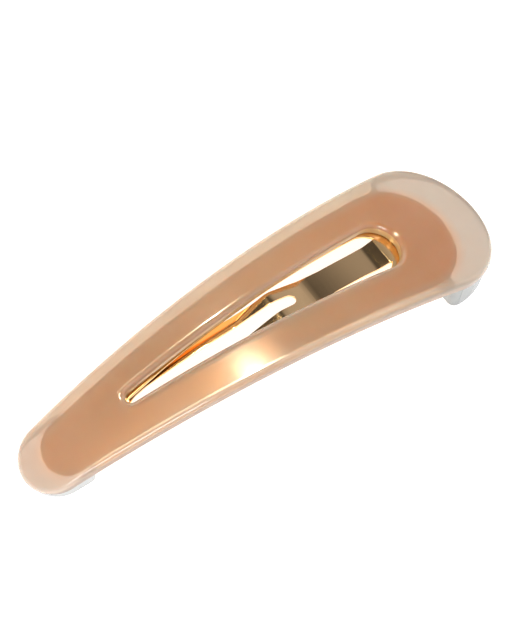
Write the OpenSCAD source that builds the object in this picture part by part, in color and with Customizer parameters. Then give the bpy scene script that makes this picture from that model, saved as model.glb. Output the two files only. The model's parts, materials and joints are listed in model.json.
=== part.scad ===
// Snap hair clip: an arched, translucent shell with a drop-shaped opening over a
// thin sprung metal clip, which two clear end pads hold under the shell.
// +X runs from the narrow tip to the wide end, +Z up, and the pads stand on Z = 0.
// Flat lengths run along the arch, and bend() wraps them round the arch's axis.

/* [Shell] */
// Length of the plate along the arch, tip to wide end
plate_len = 87.4; // [82:0.2:92]
// Radius of the wide end
wide_r = 12.1; // [11.6:0.1:13]
// Radius of the narrow tip
tip_r = 5.6; // [5.4:0.1:6.6]
// Radius of the long, nearly straight sides
side_r = 1300; // [1000:10:3000]
// Thickness of the shell
shell_t = 2.0; // [1.6:0.1:2.6]
// Rounding of the upper edges
edge_r = 0.9; // [0.4:0.1:1.2]
// Chamfer of the lower edges
low_edge = 0.3; // [0.1:0.05:0.4]
// Radius of the arch, at the shell's underside
arch_r = 99.6; // [92:0.2:130]

/* [Shell opening] */
// Width of the rim between the opening and the wide end
wide_rim = 17.9; // [16:0.1:20]
// Width of the rim between the opening and the tip
tip_rim = 19.1; // [17:0.1:21]
// Radius of the opening's wide end
open_wide_r = 4.0; // [3.6:0.1:4.6]
// Radius of the opening's narrow end
open_tip_r = 1.0; // [0.8:0.1:1.4]
// Radius of the opening's long, nearly straight sides
open_side_r = 4000; // [2000:100:8000]

/* [Snap frame] */
// Thickness of the sheet metal
metal_t = 0.5; // [0.4:0.05:0.6]
// Gap between the shell and the sheet
seat_gap = 0.1; // [0.05:0.01:0.2]
// Distance from the shell's wide end to the frame
frame_wide_inset = 7.2; // [6.6:0.1:8.4]
// Distance from the shell's tip to the frame
frame_tip_inset = 3.8; // [3.5:0.05:5]
// Radius of the frame's wide end
frame_wide_r = 9.8; // [9.4:0.1:10.3]
// Radius of the frame's tip
frame_tip_r = 4.4; // [4:0.1:4.8]
// Ledge of metal that shows in the opening's wide end
wide_ledge = 1.2; // [0.6:0.1:1.6]
// Ledge of metal that shows in the opening's narrow end
tip_ledge = 0.2; // [0.1:0.05:0.6]
// Radius of the wide end of the frame's hole
hole_wide_r = 3.9; // [3.7:0.1:4.2]
// Radius of the narrow end of the frame's hole
hole_tip_r = 0.5; // [0.4:0.1:0.8]
// Radius of the bulged sides of the frame's hole
hole_side_r = 500; // [420:10:600]

/* [Tongue] */
// Distance from the opening's wide end to the line where the tongue bends
root_back = 2.5; // [2:0.1:3]
// Length of the tongue, from that line to its tip
tongue_len = 53; // [50:0.5:55]
// Width of the tongue where it is widest
tongue_w = 6.0; // [5.6:0.1:6.2]
// Width of the tongue at its root
root_w = 4.8; // [4.2:0.1:5.2]
// Step down from the frame at the root
root_step = 0.75; // [0.5:0.05:0.9]
// Depth of the valley between the root and the crest
back_dip = 1.5; // [1.1:0.05:1.8]
// Depth of the valley in front of the crest
front_dip = 1.85; // [1.4:0.05:2.2]
// Depth of the crest below the frame's upper face
crest_dip = 0.05; // [0:0.05:0.3]
// Gap between the closed tongue and the frame above its tip
grip_gap = 0.15; // [0.1:0.01:0.3]
// Gap between the tongue's rounded root and the frame
root_gap = 0.1; // [0.08:0.01:0.15]
// Width of the slot in the tongue
slot_w = 2.4; // [2:0.1:2.8]
// Length of the slot
slot_len = 30.5; // [26:0.5:31]
// Distance from the bend line to the slot
slot_back = 17; // [16.5:0.5:19]
// Length of the slot's rounded back end
slot_round = 1.1; // [0.8:0.1:1.4]
// Length of the tongue's rounded tip
tongue_round = 2.6; // [2:0.1:3.4]

/* [End pads] */
// Height of a pad under the shell's very ends
pad_foot = 0.57; // [0.4:0.01:1]
// Gap between the pads and what they are set against
pad_gap = 0.05; // [0.03:0.01:0.1]
// Length of the wide pad
wide_pad_len = 12.9; // [11:0.1:14]
// Distance of the wide pad's wall from the shell's edge
wide_pad_inset = 0.2; // [0:0.05:0.5]
// Gap between the tip pad and the tongue's tip, seen from above
tip_clear = 3.75; // [2:0.05:5]
// Width of the tip pad
tip_pad_w = 10.4; // [10:0.1:11]
// Distance of the tip pad from the shell's tip
tip_pad_inset = 0.1; // [0:0.05:0.4]
// Rounding of the pads' inner corners
pad_corner_r = 1.2; // [0.6:0.1:1.8]

/* [Hidden] */
$fn = 64;

half_len = plate_len / 2;
half_angle = half_len / arch_r * 180 / PI;
crown_h = pad_foot + arch_r * (1 - cos(half_angle));
plan_half = arch_r * sin(half_angle);
frame_top = -seat_gap;
frame_low = frame_top - metal_t;
open_wide_at = half_len - wide_rim;
root_at = open_wide_at - root_back;

// Stations round one half of a drop outline: wide end, side and tip
WIDE_STEPS = 14;
SIDE_STEPS = 18;
TIP_STEPS = 8;
// Steps across the shell's faces and round its upper edges
ACROSS_STEPS = 5;
EDGE_STEPS = 4;

// Drop outline along the arch, symmetric about the X axis: columns by name
TIP_X = 0;
WIDE_X = 1;
TIP_R = 2;
WIDE_R = 3;
SIDE_R = 4;
shell_drop = [-half_len, half_len, tip_r, wide_r, side_r];
open_drop = [tip_rim - half_len, open_wide_at,
             open_tip_r, open_wide_r, open_side_r];
frame_drop = [frame_tip_inset - half_len, half_len - frame_wide_inset,
              frame_tip_r, frame_wide_r, side_r];
hole_drop = [tip_rim + tip_ledge - half_len, open_wide_at - wide_ledge,
             hole_tip_r, hole_wide_r, hole_side_r];

// Centre of the side arc that touches both end circles from outside
function side_centre(d) =
    let (tip_c = d[TIP_X] + d[TIP_R],
         span = d[WIDE_X] - d[WIDE_R] - tip_c,
         a = d[SIDE_R] - d[TIP_R],
         b = d[SIDE_R] - d[WIDE_R],
         x = (a * a - b * b + span * span) / (2 * span))
    [tip_c + x, -sqrt(a * a - x * x)];

// Normal angles of the stations over one half, from the wide end to the tip
function half_angles(d) =
    let (c = side_centre(d),
         wide_a = atan2(-c[1], d[WIDE_X] - d[WIDE_R] - c[0]),
         tip_a = atan2(-c[1], d[TIP_X] + d[TIP_R] - c[0]))
    [for (i = [0:WIDE_STEPS - 1]) [0, wide_a * i / WIDE_STEPS],
     for (i = [0:SIDE_STEPS - 1]) [1, wide_a + (tip_a - wide_a) * i / SIDE_STEPS],
     for (i = [0:TIP_STEPS]) [2, tip_a + (180 - tip_a) * i / TIP_STEPS]];

// Point of the outline at one station, moved outwards by grow
function drop_point(d, station, grow) =
    let (c = side_centre(d),
         n = [cos(station[1]), sin(station[1])])
    station[0] == 0 ? [d[WIDE_X] - d[WIDE_R], 0] + (d[WIDE_R] + grow) * n :
    station[0] == 1 ? c + (d[SIDE_R] + grow) * n :
                      [d[TIP_X] + d[TIP_R], 0] + (d[TIP_R] + grow) * n;

// Whole outline, anticlockwise from the wide end
function drop_loop(d, grow = 0) =
    let (half = [for (s = half_angles(d)) drop_point(d, s, grow)],
         last = len(half) - 1)
    [each half, for (i = [1:last - 1]) [half[last - i][0], -half[last - i][1]]];

// Wraps a point of the flat clip round the arch: z is its height over the underside
function bend(x, y, z) =
    let (a = x / arch_r * 180 / PI)
    [(arch_r + z) * sin(a), y, (arch_r + z) * cos(a) - arch_r + crown_h];

// Plan view of a flat outline once it is bent
function bent_plan(points, z) = [for (p = points) let (b = bend(p[0], p[1], z)) [b[0], b[1]]];

// Solid below a cylinder that is concentric with the arch
module under_arch(z) {
    translate([0, 0, crown_h - arch_r])
        rotate([90, 0, 0])
            cylinder(r = arch_r + z, h = 4 * wide_r, center = true, $fn = 256);
}

// Rails of the shell's section: each is [outward shift, height, share from rim to opening]
function shell_section() =
    [for (i = [0:EDGE_STEPS])
        let (a = 90 * i / EDGE_STEPS)
        [-edge_r * (1 - cos(a)), shell_t - edge_r * (1 - sin(a)), 0],
     for (i = [1:ACROSS_STEPS - 1]) [-edge_r, shell_t, i / ACROSS_STEPS],
     for (i = [0:EDGE_STEPS])
        let (a = 90 - 90 * i / EDGE_STEPS)
        [-edge_r * (1 - cos(a)), shell_t - edge_r * (1 - sin(a)), 1],
     [0, low_edge, 1],
     [-low_edge, 0, 1],
     for (i = [1:ACROSS_STEPS - 1]) [-low_edge, 0, 1 - i / ACROSS_STEPS],
     [-low_edge, 0, 0],
     [0, low_edge, 0]];

// Translucent arched shell with its drop-shaped opening
module shell() {
    section = shell_section();
    rails = [for (r = section)
        let (outer = drop_loop(shell_drop, r[0]),
             inner = drop_loop(open_drop, -r[0]))
        [for (i = [0:len(outer) - 1])
            let (p = outer[i] * (1 - r[2]) + inner[i] * r[2])
            bend(p[0], p[1], r[1])]];
    n = len(rails[0]);
    m = len(rails);
    color([0.93, 0.75, 0.62, 0.75])
        polyhedron(
            points = [for (rail = rails) each rail],
            faces = [for (j = [0:m - 1], i = [0:n - 1])
                let (a = j * n + i,
                     b = j * n + (i + 1) % n,
                     c = ((j + 1) % m) * n + (i + 1) % n,
                     d = ((j + 1) % m) * n + i)
                each [[a, c, b], [a, d, c]]],
            convexity = 8);
}

// Sheet that follows the arch between two heights, cut to a plan outline
module arched_sheet(top, low) {
    difference() {
        intersection() {
            linear_extrude(height = crown_h + shell_t) children();
            under_arch(top);
        }
        under_arch(low);
    }
}

// Gold sheet frame, with its hole and the tab that carries the tongue
module snap_frame() {
    tab_end = bend(root_at + metal_t / 2 + root_gap, 0, frame_top)[0];
    color([0.86, 0.66, 0.36])
        arched_sheet(frame_top, frame_low)
            difference() {
                polygon(bent_plan(drop_loop(frame_drop), frame_low));
                difference() {
                    polygon(bent_plan(drop_loop(hole_drop), frame_low));
                    translate([tab_end, -root_w / 2]) square([2 * hole_wide_r, root_w]);
                }
            }
}

// Tongue's upper face: share of its length from the root, depth below the frame's top
under_frame = metal_t + grip_gap;
tongue_depths = [
    [0, 0],
    [0.034, root_step],
    [0.277, back_dip],
    [0.392, crest_dip],
    [0.517, max(front_dip, under_frame)],
    [0.79, max(0.55 * front_dip, under_frame)],
    [1, under_frame]];

// Tongue's outline: share of its length from the root, share of its full width
tongue_widths = [
    [0, root_w / tongue_w],
    [0.034, 0.96 * root_w / tongue_w],
    [0.094, 0.92 * root_w / tongue_w],
    [0.208, 0.74],
    [0.277, 0.83],
    [0.392, 0.915],
    [0.434, 0.87],
    [0.462, 0.90],
    [0.517, 0.98],
    [0.57, 1],
    [0.79, 0.93],
    [1, 0.76]];

// Slot's outline: share of its length from the root's side, share of its full width
slot_widths = [
    [0, 0.70],
    [0.125, 0.79],
    [0.345, 1],
    [0.65, 0.84],
    [0.9, 0.68],
    [0.97, 0.45],
    [1, 0.12]];

// Stations along the tongue, along its slot, round its tip and round its root
TONGUE_STEPS = 60;
SLOT_STEPS = 32;
TIP_ROUND_STEPS = 6;
ROOT_STEPS = 12;
// Shares of the tongue's length: half of a softened crease, and the reach of a direction
CREASE_SOFT = 0.008;
WAY_REACH = 0.002;

// Table value averaged over a short stretch, so that creases are softly rounded
function soft(table, u) =
    let (shifts = [-1, -0.5, 0, 0.5, 1])
    [for (s = shifts) 1] * [for (s = shifts) lookup(u + s * CREASE_SOFT, table)] / len(shifts);

// Point of the tongue's middle surface in the XZ plane
function tongue_mid(u) =
    let (p = bend(root_at - u * tongue_len, 0, frame_top - metal_t / 2 - soft(tongue_depths, u)))
    [p[0], p[2]];

// Direction along the tongue, from the root to the tip
function tongue_way(u) =
    let (d = tongue_mid(u + WAY_REACH) - tongue_mid(u - WAY_REACH))
    d / norm(d);

// Direction square to the tongue, towards its upper face
function tongue_up(u) = let (w = tongue_way(u)) [w[1], -w[0]];

// Side view of the tongue, with a rounded root
module tongue_side() {
    steps = [for (i = [0:TONGUE_STEPS]) i / TONGUE_STEPS];
    half_t = metal_t / 2;
    root = [for (i = [1:ROOT_STEPS - 1])
        let (a = 180 * i / ROOT_STEPS)
        tongue_mid(0) + half_t * (cos(a) * tongue_up(0) - sin(a) * tongue_way(0))];
    lower = [for (u = steps) tongue_mid(u) - half_t * tongue_up(u)];
    upper = [for (i = [TONGUE_STEPS:-1:0]) tongue_mid(steps[i]) + half_t * tongue_up(steps[i])];
    polygon([each root, each lower, each upper]);
}

// Half width of the tongue, with its rounded tip
function tongue_half(u) =
    let (left = (1 - u) * tongue_len,
         r = max(0, 1 - left / tongue_round))
    tongue_w / 2 * soft(tongue_widths, u) * sqrt(max(0, 1 - r * r));

// Half width of the slot, with its rounded back end
function slot_half(v) =
    let (r = max(0, 1 - v * slot_len / slot_round))
    slot_w / 2 * lookup(v, slot_widths) * sqrt(max(0, 1 - r * r));

// Plan view of the tongue with its slot
module tongue_plan() {
    round_u = 1 - tongue_round / tongue_len;
    straight = [for (i = [0:TONGUE_STEPS - 1]) round_u * i / TONGUE_STEPS];
    rounded = [for (i = [TIP_ROUND_STEPS:-1:0]) 1 - (1 - round_u) * pow(i / TIP_ROUND_STEPS, 2)];
    us = [each straight, each rounded];
    side = [for (u = us) [bend(root_at - u * tongue_len, 0, frame_low)[0], tongue_half(u)]];
    back = [bend(root_at + metal_t, 0, frame_low)[0], root_w / 2];
    slot = [for (i = [0:SLOT_STEPS])
        let (s = i / SLOT_STEPS,
             v = s * s * (3 - 2 * s))
        [bend(root_at - slot_back - v * slot_len, 0, frame_low)[0], slot_half(v)]];
    difference() {
        polygon([back, each side, each mirrored(side), [back[0], -back[1]]]);
        polygon([each slot, for (i = [SLOT_STEPS:-1:1]) [slot[i][0], -slot[i][1]]]);
    }
}

// A side's points in reverse, across the X axis
function mirrored(side) = [for (i = [len(side) - 1:-1:0]) [side[i][0], -side[i][1]]];

// Sprung tongue, closed against the frame
module tongue() {
    color([0.80, 0.62, 0.34])
        intersection() {
            translate([0, tongue_w, 0])
                rotate([90, 0, 0])
                    linear_extrude(height = 2 * tongue_w) tongue_side();
            linear_extrude(height = crown_h + shell_t) tongue_plan();
        }
}

// Foot with a level underside, cut to a plan outline, with a pocket for the frame
module end_pad() {
    difference() {
        intersection() {
            linear_extrude(height = crown_h) children();
            under_arch(-pad_gap);
        }
        difference() {
            linear_extrude(height = crown_h + shell_t)
                polygon(bent_plan(drop_loop(frame_drop, pad_gap), frame_low));
            under_arch(frame_low - pad_gap);
        }
    }
}

// Square end with two rounded corners: runs from x = 0 to x = len
module rounded_end(len, width) {
    translate([pad_corner_r, -width / 2]) square([len - pad_corner_r, width]);
    translate([0, pad_corner_r - width / 2]) square([2 * pad_corner_r, width - 2 * pad_corner_r]);
    for (side = [-1, 1])
        translate([pad_corner_r, side * (width / 2 - pad_corner_r)])
            circle(r = pad_corner_r);
}

// Clear pad under the wide end
module wide_pad() {
    outline = bent_plan(drop_loop(shell_drop, -wide_pad_inset), 0);
    inner_x = plan_half - wide_pad_len;
    inner_w = 2 * lookup(inner_x, [for (i = [WIDE_STEPS + SIDE_STEPS:-1:0]) outline[i]]);
    color([0.90, 0.90, 0.88, 0.5])
        end_pad()
            intersection() {
                polygon(outline);
                union() {
                    translate([inner_x, 0]) rounded_end(2 * pad_corner_r, inner_w);
                    translate([inner_x + pad_corner_r, -2 * wide_r])
                        square([wide_pad_len, 4 * wide_r]);
                }
            }
}

// Clear pad under the narrow tip: it ends short of the tongue
module tip_pad() {
    tip_x = tip_pad_inset - plan_half;
    inner_x = bend(root_at - tongue_len, 0, 0)[0] - tip_clear;
    color([0.90, 0.90, 0.88, 0.5])
        end_pad()
            intersection() {
                union() {
                    translate([tip_x + tip_pad_w / 2, 0]) circle(d = tip_pad_w);
                    translate([tip_x + tip_pad_w / 2, -tip_pad_w / 2])
                        square([plan_half, tip_pad_w]);
                }
                translate([inner_x, 0]) rotate(180) rounded_end(inner_x - tip_x, tip_pad_w);
            }
}

shell();
snap_frame();
tongue();
tip_pad();
wide_pad();
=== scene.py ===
import json
import math
from collections import namedtuple

import bmesh
import bpy
from mathutils import Matrix, Vector

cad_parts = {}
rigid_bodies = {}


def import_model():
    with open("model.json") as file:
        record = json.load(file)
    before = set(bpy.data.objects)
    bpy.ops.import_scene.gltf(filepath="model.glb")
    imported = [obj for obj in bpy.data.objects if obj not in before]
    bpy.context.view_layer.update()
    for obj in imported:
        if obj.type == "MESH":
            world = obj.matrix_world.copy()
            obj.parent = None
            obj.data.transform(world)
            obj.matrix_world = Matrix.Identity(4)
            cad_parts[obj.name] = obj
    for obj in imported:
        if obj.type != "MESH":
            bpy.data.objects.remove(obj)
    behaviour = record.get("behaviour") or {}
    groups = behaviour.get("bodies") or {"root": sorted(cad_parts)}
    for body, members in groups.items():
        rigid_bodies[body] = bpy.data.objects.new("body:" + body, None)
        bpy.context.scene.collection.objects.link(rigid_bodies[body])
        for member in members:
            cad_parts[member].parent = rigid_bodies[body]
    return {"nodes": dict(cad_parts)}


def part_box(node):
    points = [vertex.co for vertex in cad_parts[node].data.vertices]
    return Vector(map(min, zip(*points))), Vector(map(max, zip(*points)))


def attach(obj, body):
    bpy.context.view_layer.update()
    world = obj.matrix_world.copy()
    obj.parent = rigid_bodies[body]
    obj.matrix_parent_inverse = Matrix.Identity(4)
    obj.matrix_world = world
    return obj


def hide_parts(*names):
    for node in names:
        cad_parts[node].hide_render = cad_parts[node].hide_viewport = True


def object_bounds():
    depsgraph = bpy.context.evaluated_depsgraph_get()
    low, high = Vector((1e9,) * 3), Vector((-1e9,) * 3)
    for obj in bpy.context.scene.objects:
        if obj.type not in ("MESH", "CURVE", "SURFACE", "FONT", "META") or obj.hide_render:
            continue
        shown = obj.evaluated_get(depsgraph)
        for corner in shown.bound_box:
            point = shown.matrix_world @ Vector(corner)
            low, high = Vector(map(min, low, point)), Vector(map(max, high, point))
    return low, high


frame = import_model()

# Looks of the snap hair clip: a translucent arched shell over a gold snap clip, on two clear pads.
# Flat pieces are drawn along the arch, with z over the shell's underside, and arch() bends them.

CAD_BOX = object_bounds()
MM = 0.001

# The shell, in metres
PLATE_LENGTH = 87.4 * MM
WIDE_END_R = 12.1 * MM
TIP_R = 5.6 * MM
SIDE_R = 1300 * MM
SHELL_T = 2.0 * MM
TOP_ROUNDING = 0.9 * MM
LOW_CHAMFER = 0.3 * MM
ARCH_R = 99.6 * MM

# The opening in the shell
WIDE_RIM = 17.9 * MM
TIP_RIM = 19.1 * MM
OPENING_WIDE_R = 4.0 * MM
OPENING_TIP_R = 1.0 * MM
OPENING_SIDE_R = 4000 * MM

# The metal frame, its hole, and the tab at its wide end that the tongue grows from
METAL_T = 0.5 * MM
SEAT_GAP = 0.1 * MM
FRAME_WIDE_INSET = 7.2 * MM
FRAME_TIP_INSET = 3.8 * MM
FRAME_WIDE_R = 9.8 * MM
FRAME_TIP_R = 4.4 * MM
WIDE_LEDGE = 1.2 * MM
TIP_LEDGE = 0.2 * MM
HOLE_WIDE_R = 3.9 * MM
HOLE_TIP_R = 0.5 * MM
HOLE_SIDE_R = 500 * MM
TAB_WIDTH = 4.8 * MM
TAB_INSET = 2.5 * MM

HALF_LENGTH = PLATE_LENGTH / 2
OPENING_WIDE_X = HALF_LENGTH - WIDE_RIM
TAB_END_X = OPENING_WIDE_X - TAB_INSET
CROWN_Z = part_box("shell")[1].z - SHELL_T

# A drop outline: its ends along the arch, and the radii of its ends and sides
Drop = namedtuple("Drop", "tip_x wide_x tip_r wide_r side_r")
SHELL_DROP = Drop(-HALF_LENGTH, HALF_LENGTH, TIP_R, WIDE_END_R, SIDE_R)
OPENING_DROP = Drop(TIP_RIM - HALF_LENGTH, OPENING_WIDE_X, OPENING_TIP_R, OPENING_WIDE_R, OPENING_SIDE_R)
FRAME_DROP = Drop(FRAME_TIP_INSET - HALF_LENGTH, HALF_LENGTH - FRAME_WIDE_INSET,
                  FRAME_TIP_R, FRAME_WIDE_R, SIDE_R)
HOLE_DROP = Drop(TIP_RIM + TIP_LEDGE - HALF_LENGTH, OPENING_WIDE_X - WIDE_LEDGE,
                 HOLE_TIP_R, HOLE_WIDE_R, HOLE_SIDE_R)
HOLE_CENTRE_X = HOLE_DROP.wide_x - HOLE_DROP.wide_r

# Steps round the wide end, along a side and round the tip, and loops across a plate
WIDE_STEPS = 40
SIDE_STEPS = 80
TIP_STEPS = 24
ACROSS_LOOPS = 14
# Every edge that runs across a plate is longer than this, and all others are shorter
ACROSS_LEAST = 2.2 * MM
# Steps of the shell's rounding above and of its chamfer below
TOP_STEPS = 8
LOW_STEPS = 3

# Widths of the rounded edges, and their steps
FRAME_EDGE = 0.1 * MM
TONGUE_EDGE = 0.07 * MM
PAD_EDGE = 0.18 * MM
FRAME_EDGE_STEPS = 3
TONGUE_EDGE_STEPS = 2
PAD_EDGE_STEPS = 3

# Points nearer than this are one
MERGE = 0.002 * MM
# Heights of a face's normal under which it belongs to a wall, and over which it is level
WALL_Z = 0.2
LEVEL_Z = 0.8
# Triangles that turn by fewer degrees than this are joined into one face
FLAT_ANGLE = 0.3
# Edges at which the faces turn by more degrees than this are rounded
SHARP_ANGLE = 50
# A plate's face and its wall turn by more degrees than this
CORNER_ANGLE = 80
# The shading runs smoothly over edges that turn by fewer degrees than this
SHELL_SMOOTH = 60
METAL_SMOOTH = 35
PAD_SMOOTH = 40

# Width over which the shell's colour deepens with the painted reflection and shade of the frame under
# it, and how far inside the metal's outline its middle lies
METAL_FADE = 3.0 * MM
METAL_FADE_INSET = 0.3 * MM
# The painted deep colour lies this far towards the tip and the near side of the metal, where the frame's
# shade shows through the plate's thickness from the camera's side
METAL_FADE_SHIFT_X = -0.4 * MM
METAL_FADE_SHIFT_Y = -0.6 * MM


def activate(piece):
    """Selects the piece alone and makes it the active one."""
    bpy.ops.object.select_all(action="DESELECT")
    piece.select_set(True)
    bpy.context.view_layer.objects.active = piece


def start_piece(name, x, y, z):
    """New mesh object whose only vertex lies at the point, left in edit mode."""
    bpy.ops.object.select_all(action="DESELECT")
    bpy.ops.mesh.primitive_plane_add(size=MM, location=(0, 0, 0))
    piece = bpy.context.object
    piece.name = piece.data.name = name
    bpy.ops.object.mode_set(mode="EDIT")
    bpy.ops.mesh.select_mode(type="VERT")
    bpy.ops.mesh.merge(type="CENTER")
    bpy.ops.transform.translate(value=(x, y, z))
    return piece


def add_vertex(x, y, z):
    """Adds one selected vertex to the mesh that is being edited."""
    bpy.ops.mesh.select_all(action="DESELECT")
    bpy.ops.mesh.primitive_plane_add(size=MM, location=(x, y, z))
    bpy.ops.mesh.merge(type="CENTER")


def finish_edit():
    """Leaves edit mode."""
    bpy.ops.object.mode_set(mode="OBJECT")


def select_where(piece, faces=None, edges=None):
    """Selects the faces or edges of the edited mesh for which the test holds."""
    bpy.ops.mesh.select_all(action="DESELECT")
    bpy.ops.mesh.select_mode(type="FACE" if faces else "EDGE")
    mesh = bmesh.from_edit_mesh(piece.data)
    for part in mesh.faces if faces else mesh.edges:
        if (faces or edges)(part):
            part.select_set(True)
    bmesh.update_edit_mesh(piece.data)


def use_modifier(piece, kind, **settings):
    """Adds a modifier, sets it and applies it."""
    activate(piece)
    bpy.ops.object.modifier_add(type=kind)
    modifier = piece.modifiers[-1]
    for key, value in settings.items():
        setattr(modifier, key, value)
    bpy.ops.object.modifier_apply(modifier=modifier.name)


def side_centre(drop):
    """Centre of the side arc, which both end circles touch from inside."""
    tip_centre = drop.tip_x + drop.tip_r
    span = drop.wide_x - drop.wide_r - tip_centre
    a = drop.side_r - drop.tip_r
    b = drop.side_r - drop.wide_r
    x = (a * a - b * b + span * span) / (2 * span)
    return tip_centre + x, -math.sqrt(a * a - x * x)


def arc_turns(drop):
    """Angles, seen from the side arc's centre, at which that arc meets the wide end and the tip."""
    cx, cy = side_centre(drop)
    wide_turn = math.atan2(-cy, drop.wide_x - drop.wide_r - cx)
    tip_turn = math.atan2(-cy, drop.tip_x + drop.tip_r - cx)
    return wide_turn, tip_turn


def reach_past(drop, x, y):
    """How far a point of the flat plan lies outside a drop outline, less than 0 inside it."""
    cx, cy = side_centre(drop)
    wide_turn, tip_turn = arc_turns(drop)
    turn = math.atan2(abs(y) - cy, x - cx)
    if turn < wide_turn:
        return math.hypot(x - (drop.wide_x - drop.wide_r), y) - drop.wide_r
    if turn > tip_turn:
        return math.hypot(x - (drop.tip_x + drop.tip_r), y) - drop.tip_r
    return math.hypot(x - cx, abs(y) - cy) - drop.side_r


def spin_drop(drop, z):
    """Spins the selected vertex round the wide end, the side and the tip, then mirrors that half."""
    cx, cy = side_centre(drop)
    wide_turn, tip_turn = arc_turns(drop)
    arcs = [(WIDE_STEPS, wide_turn, (drop.wide_x - drop.wide_r, 0, z)),
            (SIDE_STEPS, tip_turn - wide_turn, (cx, cy, z)),
            (TIP_STEPS, math.pi - tip_turn, (drop.tip_x + drop.tip_r, 0, z))]
    for steps, turn, centre in arcs:
        bpy.ops.mesh.spin(steps=steps, angle=-turn, center=centre, axis=(0, 0, 1))
    bpy.ops.mesh.select_linked()
    bpy.ops.mesh.duplicate()
    bpy.ops.transform.resize(value=(1, -1, 1), center_override=(0, 0, z))
    bpy.ops.mesh.select_linked()


def plate_between(name, outer, inner, low, thickness):
    """Flat plate between two drop outlines, with its walls square to it."""
    piece = start_piece(name, outer.wide_x, 0, low)
    spin_drop(outer, low)
    add_vertex(inner.wide_x, 0, low)
    spin_drop(inner, low)
    bpy.ops.mesh.select_all(action="SELECT")
    bpy.ops.mesh.remove_doubles(threshold=MERGE)
    bpy.ops.mesh.bridge_edge_loops()
    bpy.ops.mesh.select_all(action="SELECT")
    bpy.ops.mesh.extrude_region_move(TRANSFORM_OT_translate={"value": (0, 0, thickness)})
    bpy.ops.mesh.select_all(action="SELECT")
    bpy.ops.mesh.normals_make_consistent(inside=False)
    return piece


def cut_across(piece):
    """Adds loops between the two outlines of a plate, so that its faces bend smoothly."""
    select_where(piece, edges=lambda e: e.calc_length() > ACROSS_LEAST)
    bpy.ops.mesh.subdivide_edgering(number_cuts=ACROSS_LOOPS, interpolation="LINEAR", smoothness=0)


def arch(piece):
    """Bends a flat piece round the arch's axis and seats it under the crown."""
    bpy.ops.object.empty_add(rotation=(-math.pi / 2, 0, 0))
    axis = bpy.context.object
    # The bend reads the axis's turn, which is there only after an update
    bpy.context.view_layer.update()
    xs = [v.co.x for v in piece.data.vertices]
    use_modifier(piece, "SIMPLE_DEFORM", deform_method="BEND", deform_axis="Z",
                 angle=(max(xs) - min(xs)) / ARCH_R, origin=axis)
    bpy.data.objects.remove(axis)
    bpy.ops.object.mode_set(mode="EDIT")
    bpy.ops.mesh.select_all(action="SELECT")
    bpy.ops.transform.translate(value=(0, 0, CROWN_Z))
    finish_edit()


def fit_inside(piece):
    """Scales the piece across until it is as wide as the CAD's, whose arcs are faceted."""
    half_width = max(abs(v.co.y) for v in piece.data.vertices)
    bpy.ops.object.mode_set(mode="EDIT")
    bpy.ops.mesh.select_all(action="SELECT")
    bpy.ops.transform.resize(value=(1, CAD_BOX[1].y / half_width, 1), center_override=(0, 0, 0))
    finish_edit()


def copy_of(node):
    """Copy of a CAD node's mesh in edit mode, with doubles merged and flat triangles joined."""
    activate(frame["nodes"][node])
    bpy.ops.object.duplicate()
    piece = bpy.context.object
    bpy.ops.object.parent_clear(type="CLEAR_KEEP_TRANSFORM")
    # The node's own marks don't belong on the copy
    for key in [key for key in piece.keys() if key.startswith("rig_")]:
        del piece[key]
    bpy.ops.object.mode_set(mode="EDIT")
    bpy.ops.mesh.select_mode(type="VERT")
    bpy.ops.mesh.select_all(action="SELECT")
    bpy.ops.mesh.customdata_custom_splitnormals_clear()
    bpy.ops.mesh.remove_doubles(threshold=MERGE)
    bpy.ops.mesh.dissolve_limited(angle_limit=math.radians(FLAT_ANGLE))
    return piece


def round_edges(piece, width, steps):
    """Rounds the sharp edges of the piece."""
    use_modifier(piece, "BEVEL", width=width, segments=steps, limit_method="ANGLE",
                 angle_limit=math.radians(SHARP_ANGLE), miter_outer="MITER_ARC")


def shade(piece, smooth_angle):
    """Shades the piece smoothly up to the angle, and keeps its large faces even."""
    activate(piece)
    bpy.ops.object.shade_smooth_by_angle(angle=math.radians(smooth_angle))
    use_modifier(piece, "WEIGHTED_NORMAL", keep_sharp=True)


def put_on(piece, material):
    """Gives the whole piece one material."""
    piece.data.materials.clear()
    piece.data.materials.append(material)


def is_corner_at(edge, z):
    """True for an edge at that height between a plate's face and its wall."""
    level = all(abs(v.co.z - z) < MERGE for v in edge.verts)
    return level and len(edge.link_faces) == 2 and edge.calc_face_angle() > math.radians(CORNER_ANGLE)


def is_tab_end(face):
    """True for a face of the hole's wall from which the tab is drawn out."""
    c = face.calc_center_median()
    reach = math.hypot(c.x - HOLE_CENTRE_X, c.y)
    on_wall = abs(face.normal.z) < WALL_Z and reach < HOLE_DROP.wide_r + MERGE
    return on_wall and c.x > HOLE_CENTRE_X and abs(c.y) < TAB_WIDTH / 2


def paint_frame_reflection_and_shade(shell):
    """Stores on the still flat shell how far the gold frame's reflection and shade, painted into the
    shell's colour, show at each point.
    """
    over = shell.data.attributes.new("over_metal", "FLOAT", "POINT")
    for vertex, mark in zip(shell.data.vertices, over.data):
        x = vertex.co.x - METAL_FADE_SHIFT_X
        y = vertex.co.y - METAL_FADE_SHIFT_Y
        past = max(reach_past(FRAME_DROP, x, y), -reach_past(HOLE_DROP, x, y))
        share = min(max(0.5 - (past + METAL_FADE_INSET) / METAL_FADE, 0), 1)
        # Smoothed, so that the deeper colour starts and ends softly
        mark.value = share * share * (3 - 2 * share)


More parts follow.
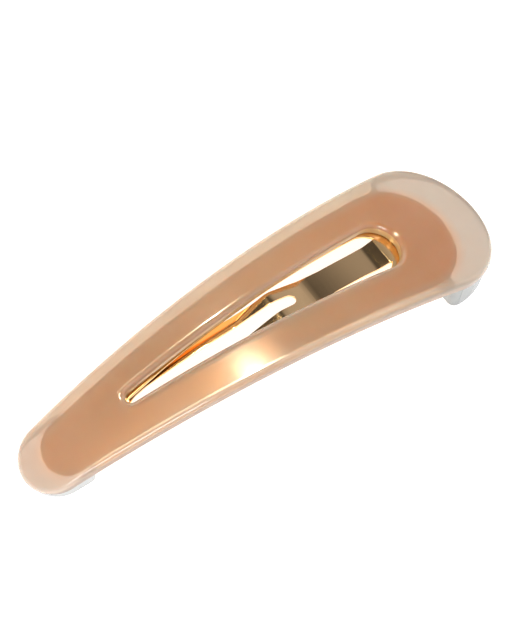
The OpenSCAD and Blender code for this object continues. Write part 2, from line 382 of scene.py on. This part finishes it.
def make_shell(milky, underside, wall):
    """The arched plate with its opening, rounded above and chamfered below."""
    shell = plate_between("acrylic_shell", SHELL_DROP, OPENING_DROP, 0, SHELL_T)
    select_where(shell, edges=lambda e: is_corner_at(e, SHELL_T))
    bpy.ops.mesh.bevel(offset=TOP_ROUNDING, segments=TOP_STEPS, affect="EDGES")
    select_where(shell, edges=lambda e: is_corner_at(e, 0))
    bpy.ops.mesh.bevel(offset=LOW_CHAMFER, segments=LOW_STEPS, affect="EDGES")
    cut_across(shell)
    for material in (milky, underside, wall):
        shell.data.materials.append(material)
    # The walls' slot takes all that doesn't face up, and then the underside's slot its own part
    for slot, height in [(2, WALL_Z), (1, -LEVEL_Z)]:
        select_where(shell, faces=lambda f: f.normal.z < height)
        shell.active_material_index = slot
        bpy.ops.object.material_slot_assign()
    finish_edit()
    paint_frame_reflection_and_shade(shell)
    arch(shell)
    fit_inside(shell)
    shade(shell, SHELL_SMOOTH)
    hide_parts("shell")
    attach(shell, "clip")


def make_frame(gold):
    """The sheet-metal frame that follows the arch under the shell, with a tab for the tongue."""
    low = -SEAT_GAP - METAL_T
    sheet = plate_between("gold_frame", FRAME_DROP, HOLE_DROP, low, METAL_T)
    cut_across(sheet)
    # Both sides of the tab are cut into the wide end, which gives the tab faces of its own
    for side in (-1, 1):
        select_where(sheet, faces=lambda f: f.calc_center_median().x > HOLE_CENTRE_X)
        bpy.ops.mesh.bisect(plane_co=(0, side * TAB_WIDTH / 2, 0), plane_no=(0, 1, 0))
    # The tab is drawn out of the hole's wall, and its end made straight
    select_where(sheet, faces=is_tab_end)
    bpy.ops.mesh.extrude_region_move()
    bpy.ops.transform.resize(value=(0, 1, 1), center_override=(TAB_END_X, 0, 0))
    finish_edit()
    arch(sheet)
    round_edges(sheet, FRAME_EDGE, FRAME_EDGE_STEPS)
    shade(sheet, METAL_SMOOTH)
    put_on(sheet, gold)
    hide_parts("snap_frame")
    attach(sheet, "clip")


def make_tongue(gold):
    """The slotted tongue, with the CAD's bends and softer edges."""
    tongue = copy_of("tongue")
    tongue.name = tongue.data.name = "gold_tongue"
    finish_edit()
    round_edges(tongue, TONGUE_EDGE, TONGUE_EDGE_STEPS)
    shade(tongue, METAL_SMOOTH)
    put_on(tongue, gold)
    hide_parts("tongue")
    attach(tongue, "tongue")


def make_pad(node, clear, cloudy_shaded):
    """A pad with rounded edges, clear on its level faces and cloudy with painted shade on its walls."""
    pad = copy_of(node)
    pad.name = pad.data.name = "clear_" + node
    put_on(pad, clear)
    pad.data.materials.append(cloudy_shaded)
    select_where(pad, faces=lambda f: abs(f.normal.z) < LEVEL_Z)
    pad.active_material_index = 1
    bpy.ops.object.material_slot_assign()
    finish_edit()
    round_edges(pad, PAD_EDGE, PAD_EDGE_STEPS)
    shade(pad, PAD_SMOOTH)
    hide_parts(node)
    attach(pad, "clip")


class Value:
    """A shader socket, so that sums on it can be written as Python."""

    def __init__(self, paint, socket):
        self.paint = paint
        self.socket = socket

    def math(self, operation, first, second):
        """Adds a Math node on two sockets or numbers."""
        return self.paint.node("ShaderNodeMath", {"operation": operation}, {0: first, 1: second})

    def __add__(self, other):
        return self.math("ADD", self, other)

    def __mul__(self, other):
        return self.math("MULTIPLY", self, other)

    def __truediv__(self, other):
        return self.math("DIVIDE", self, other)

    def __rtruediv__(self, other):
        return self.math("DIVIDE", other, self)

    def __neg__(self):
        return self * -1

    __radd__ = __add__
    __rmul__ = __mul__


class Paint:
    """A new material, or the world, while its nodes are being made."""

    def __init__(self, owner, place="Object"):
        """Empties the node tree, and starts it with the coordinate that the patterns read."""
        owner.use_nodes = True
        self.owner = owner
        self.tree = owner.node_tree
        self.tree.nodes.clear()
        self.place = self.node("ShaderNodeTexCoord", out=place)

    def node(self, kind, settings=None, sockets=None, out=0):
        """Adds a node, with its settings first and then the values or links of its sockets."""
        made = self.tree.nodes.new(kind)
        for key, value in (settings or {}).items():
            if key == "stops":
                self.set_stops(made.color_ramp, value)
            else:
                setattr(made, key, value)
        for key, value in (sockets or {}).items():
            if isinstance(value, Value):
                self.tree.links.new(value.socket, made.inputs[key])
            else:
                made.inputs[key].default_value = value
        return Value(self, made.outputs[out]) if made.outputs else None

    @staticmethod
    def set_stops(ramp, stops):
        """Gives a colour ramp its stops, each a position and a colour."""
        while len(ramp.elements) < len(stops):
            ramp.elements.new(1.0)
        for element, (position, colour) in zip(ramp.elements, stops):
            element.position = position
            element.color = colour

    def noise(self, scale, stretch=(1, 1, 1), detail=2.0):
        """Noise over the piece, with the scale in cells per metre."""
        place = self.node("ShaderNodeMapping", {}, {"Vector": self.place, "Scale": stretch}, "Vector")
        sockets = {"Vector": place, "Scale": scale, "Detail": detail}
        return self.node("ShaderNodeTexNoise", {}, sockets, "Fac")

    def mix(self, share, first, second):
        """Mixes two colours, which are the Mix node's sockets 6 and 7, into its output 2."""
        return self.node("ShaderNodeMix", {"data_type": "RGBA"}, {0: share, 6: first, 7: second}, 2)

    def ramp(self, share, stops):
        """Colour that runs through the stops."""
        return self.node("ShaderNodeValToRGB", {"stops": stops}, {"Fac": share}, "Color")

    def along(self, axis):
        """The place along one axis, which is in metres on a piece."""
        return self.node("ShaderNodeSeparateXYZ", {}, {0: self.place}, axis)

    def toward_wide_end(self):
        """Runs from 0 at the clip's tip to 1 at its wide end."""
        return self.along("X") / PLATE_LENGTH + 0.5

    def over_metal(self):
        """How far the frame's painted reflection and shade show through the shell, as stored on the
        shell's points.
        """
        return self.node("ShaderNodeAttribute", {"attribute_name": "over_metal"}, out="Fac")

    def bump(self, height, strength=1.0, depth=1.0, under=None):
        """Bumps the surface by the height times the depth, over the bump under it."""
        sockets = {"Height": height, "Strength": strength, "Distance": depth}
        if under:
            sockets["Normal"] = under
        return self.node("ShaderNodeBump", {}, sockets, "Normal")

    def finish(self, sockets):
        """Ends in a Principled shader and returns the material."""
        shader = self.node("ShaderNodeBsdfPrincipled", {}, sockets, "BSDF")
        self.node("ShaderNodeOutputMaterial", {}, {"Surface": shader})
        return self.owner


# Scales of the noises, in cells per metre
CLOUDS = 160
RIPPLES = 220
HAZE = 400
GRAIN = 900
GOLD_PATCHES = 90
# The ripples are drawn out along the clip, and the gold's grain much more
RIPPLE_STRETCH = (0.5, 1, 1)
GRAIN_STRETCH = (0.04, 1, 1)
# Share of white that the clouds bring into the acrylic
CLOUD_SHARE = 0.05

ACRYLIC_IOR = 1.49
PAD_IOR = 1.46
WHITE = (1, 1, 1, 1)

# Milky acrylic of the rim: at the tip, and darker with painted shade along the sides and at the wide end
CREAM = (0.49, 0.34, 0.255, 1)
SIDE_SHADED_CREAM = (0.385, 0.266, 0.202, 1)
WIDE_SHADED_CREAM = (0.40, 0.297, 0.226, 1)
# Milky acrylic over the frame, with the gold's reflection and the frame's shade painted in: at the tip,
# along the sides and at the wide end
ROSY_PEACH = (0.60, 0.335, 0.20, 1)
PEACH = (0.48, 0.282, 0.175, 1)
COPPER = (0.49, 0.193, 0.065, 1)
# Walls of the shell: outside, and round the opening, where a reflection of the gold under them is
# painted in
WALL_CREAM = (0.40, 0.29, 0.23, 1)
WALL_GOLD_REFLECTION = (0.60, 0.40, 0.20, 1)

# Radius to which the pressed frame is dished across its width
DISH_R = 146 * MM


def peach_acrylic():
    """Milky acrylic of the shell, whose colour deepens over the gold with the frame's reflection and
    shade painted in.
    """
    p = Paint(bpy.data.materials.new("peach_acrylic"))
    cloud = p.noise(CLOUDS, detail=1.0)
    ripple = p.noise(RIPPLES, RIPPLE_STRETCH, detail=1.0)
    way = p.toward_wide_end()
    # The rim darkens away from the tip with painted shade of the floor under the clip
    rim = p.ramp(way, [(0.1, CREAM), (0.4, SIDE_SHADED_CREAM), (0.75, WIDE_SHADED_CREAM)])
    # Painted reflection and shade of the gold frame under the shell, deepest at the wide end
    painted_frame_look = p.ramp(way, [(0.08, ROSY_PEACH), (0.28, PEACH), (0.55, PEACH), (1.0, COPPER)])
    milk = p.mix(p.over_metal(), rim, painted_frame_look)
    return p.finish({
        "Base Color": p.mix(cloud * CLOUD_SHARE, milk, WHITE),
        "Roughness": 0.17,
        "IOR": ACRYLIC_IOR,
        "Transmission Weight": 0.30,
        "Subsurface Weight": 1.0,
        "Subsurface Radius": (0.5, 0.8, 1.0),
        "Subsurface Scale": 3.0 * MM,
        "Coat Weight": 1.0,
        "Coat Roughness": 0.04,
        "Coat IOR": ACRYLIC_IOR,
        "Normal": p.bump(ripple, strength=0.15, depth=0.05 * MM),
    })


def clear_underside():
    """Underside of the shell, which lets the gold show through undimmed."""
    p = Paint(bpy.data.materials.new("clear_underside"))
    return p.finish({
        "Base Color": (1.0, 0.97, 0.93, 1),
        "Roughness": 0.06,
        "IOR": ACRYLIC_IOR,
        "Transmission Weight": 1.0,
    })


def amber_wall():
    """Walls of the shell: dull outside, and amber round the opening, where a reflection of the gold
    under them is painted in.
    """
    p = Paint(bpy.data.materials.new("amber_wall"))
    cloud = p.noise(CLOUDS, detail=1.0)
    # The mark is nearly 0 on the outer walls, and about a half on those round the opening
    wall = p.mix(p.over_metal() * 2, WALL_CREAM, WALL_GOLD_REFLECTION)
    return p.finish({
        "Base Color": p.mix(cloud * CLOUD_SHARE, wall, WHITE),
        "Roughness": 0.08,
        "IOR": ACRYLIC_IOR,
        "Transmission Weight": 0.25,
        "Subsurface Weight": 1.0,
        "Subsurface Radius": (1.0, 0.8, 0.6),
        "Subsurface Scale": 2.0 * MM,
    })


def satin_gold():
    """Gold of the frame under the shell: satin, and dished so that its sides lean outwards."""
    p = Paint(bpy.data.materials.new("satin_gold"))
    grain = p.noise(GRAIN, GRAIN_STRETCH, detail=3.0)
    patches = p.noise(GOLD_PATCHES, detail=1.0)
    across = p.along("Y")
    dish = p.bump(-(across * across) / (2 * DISH_R))
    return p.finish({
        "Base Color": p.mix(patches, (0.96, 0.63, 0.30, 1), (0.99, 0.67, 0.34, 1)),
        "Metallic": 1.0,
        "Roughness": grain * 0.08 + 0.12,
        "Normal": p.bump(grain, strength=0.10, depth=0.01 * MM, under=dish),
    })


def gold_plate():
    """Gold of the tongue, which is glossier than the frame."""
    p = Paint(bpy.data.materials.new("gold_plate"))
    grain = p.noise(GRAIN, GRAIN_STRETCH, detail=3.0)
    patches = p.noise(GOLD_PATCHES, detail=1.0)
    return p.finish({
        "Base Color": p.mix(patches, (0.95, 0.62, 0.33, 1), (0.98, 0.66, 0.37, 1)),
        "Metallic": 1.0,
        "Roughness": grain * 0.06 + 0.06,
        "Normal": p.bump(grain, strength=0.10, depth=0.01 * MM),
    })


def clear_plastic():
    """Level faces of the pads."""
    p = Paint(bpy.data.materials.new("clear_plastic"))
    haze = p.noise(HAZE)
    return p.finish({
        "Base Color": (0.97, 0.97, 0.96, 1),
        "Roughness": haze * 0.08 + 0.04,
        "IOR": PAD_IOR,
        "Transmission Weight": 1.0,
        "Normal": p.bump(haze, strength=0.2, depth=0.03 * MM),
    })


def cloudy_shaded_plastic():
    """Walls of the pads, which are matter than their faces and greyer with painted shade, most so at the
    wide end under the shell.
    """
    p = Paint(bpy.data.materials.new("cloudy_shaded_plastic"))
    haze = p.noise(HAZE)
    # Painted shade: the walls are grey, and darkest at the wide end under the shell
    tip_wall = p.mix(haze, (0.45, 0.46, 0.45, 1), (0.51, 0.52, 0.51, 1))
    wide_wall_in_shade = p.mix(haze, (0.20, 0.21, 0.21, 1), (0.26, 0.27, 0.27, 1))
    return p.finish({
        "Base Color": p.mix(p.toward_wide_end(), tip_wall, wide_wall_in_shade),
        "Roughness": haze * 0.10 + 0.14,
        "IOR": PAD_IOR,
        "Transmission Weight": 0.25,
        "Normal": p.bump(haze, strength=0.2, depth=0.03 * MM),
    })


def pale_floor():
    """Floor that glows a little, so that it is white in the picture and shadows on it stay faint."""
    p = Paint(bpy.data.materials.new("pale_floor"))
    return p.finish({
        "Base Color": (0.75, 0.75, 0.75, 1),
        "Roughness": 0.7,
        "Emission Color": WHITE,
        "Emission Strength": 0.68,
    })


# The photograph's view: how it is turned, in degrees, and how far it lies from the crown
VIEW_AZIMUTH = -41.625
VIEW_ELEVATION = 61.845
VIEW_ROLL = 7.286
VIEW_DISTANCE = 273.3 * MM
# The lens and the width of the sensor, in millimetres
LENS = 101.25
SENSOR = 36.0
# The picture's size in pixels, and where the crown lies in it
PICTURE = (512, 640)
CROWN_PIXEL = (262.55, 313.78)


def make_camera():
    """Camera at the photograph's viewing angle, shifted to its framing."""
    data = bpy.data.cameras.new("camera")
    camera = bpy.data.objects.new("camera", data)
    bpy.context.scene.collection.objects.link(camera)
    data.lens = LENS
    data.sensor_width = SENSOR
    long_side = max(PICTURE)
    data.shift_x = (PICTURE[0] / 2 - CROWN_PIXEL[0]) / long_side
    data.shift_y = (CROWN_PIXEL[1] - PICTURE[1] / 2) / long_side
    a = math.radians(VIEW_AZIMUTH)
    e = math.radians(VIEW_ELEVATION)
    r = math.radians(VIEW_ROLL)
    back = Vector((math.sin(a) * math.cos(e), -math.cos(a) * math.cos(e), math.sin(e)))
    level = Vector((math.cos(a), math.sin(a), 0))
    rise = back.cross(level)
    right = math.cos(r) * level + math.sin(r) * rise
    up = -math.sin(r) * level + math.cos(r) * rise
    camera.matrix_world = Matrix((right, up, back)).transposed().to_4x4()
    camera.location = Vector((0, 0, CROWN_Z)) + VIEW_DISTANCE * back
    bpy.context.scene.camera = camera


def add_softbox(name, place, size, radiance, tint=(1, 1, 1)):
    """Area light of the given radiance that faces the clip, with its place and size in metres."""
    data = bpy.data.lights.new(name, "AREA")
    data.color = tint
    data.shape = "RECTANGLE"
    data.size, data.size_y = size
    data.energy = radiance * math.pi * size[0] * size[1]
    light = bpy.data.objects.new(name, data)
    bpy.context.scene.collection.objects.link(light)
    light.location = place
    light.rotation_mode = "QUATERNION"
    away = Vector(place).normalized()
    rise = away.cross(Vector((1, 0, 0))).normalized()
    light.rotation_quaternion = Matrix((rise.cross(away), rise, away)).transposed().to_quaternion()


# Greys of the world at heights from the horizon, 0, to overhead, 1
WORLD_GREYS = [(0.0, 1.0), (0.38, 0.75), (0.52, 0.46), (0.76, 0.31), (0.85, 0.08), (1.0, 0.03)]


def make_world():
    """Bright low down and dim overhead, as in a white cove under a dark ceiling."""
    world = bpy.data.worlds.new("studio")
    bpy.context.scene.world = world
    p = Paint(world, place="Generated")
    sky = p.ramp(p.along("Z"), [(height, (grey, grey, grey, 1)) for height, grey in WORLD_GREYS])
    glow = p.node("ShaderNodeBackground", {}, {"Color": sky}, "Background")
    p.node("ShaderNodeOutputWorld", {}, {"Surface": glow})


# Side of the floor, in metres
FLOOR_SIZE = 4.0
# Tints of the softboxes overhead: the lamp, the glow round its spot and the glow along the gold
LAMP_TINT = (1.0, 0.92, 0.68)
GOLDEN = (1.0, 0.85, 0.40)
WARM = (1.0, 0.88, 0.60)


def make_studio():
    """Pale floor, white cove and softboxes."""
    bpy.ops.object.select_all(action="DESELECT")
    bpy.ops.mesh.primitive_plane_add(size=FLOOR_SIZE, location=(0, 0, 0))
    floor = bpy.context.object
    floor.name = floor.data.name = "floor"
    put_on(floor, pale_floor())
    make_world()
    add_softbox("lamp", place=(0.011, 0.023, 0.120), size=(0.009, 0.009), radiance=340, tint=LAMP_TINT)
    add_softbox("halo", place=(0.005, 0.022, 0.121), size=(0.044, 0.012), radiance=8, tint=GOLDEN)
    add_softbox("spill", place=(-0.030, 0.023, 0.122), size=(0.135, 0.018), radiance=6.3, tint=WARM)
    add_softbox("key", place=(-0.45, -0.75, 0.85), size=(0.7, 0.36), radiance=9)
    add_softbox("fill", place=(0.75, -0.55, 0.8), size=(0.5, 0.5), radiance=0.5)
    add_softbox("back", place=(0.35, 1.0, 0.6), size=(0.9, 0.35), radiance=1.0)
    bpy.context.scene.view_settings.view_transform = "Standard"


make_camera()
make_shell(peach_acrylic(), clear_underside(), amber_wall())
make_frame(satin_gold())
make_tongue(gold_plate())
clear = clear_plastic()
cloudy_shaded = cloudy_shaded_plastic()
for pad_node in ("tip_pad", "wide_pad"):
    make_pad(pad_node, clear, cloudy_shaded)
make_studio()
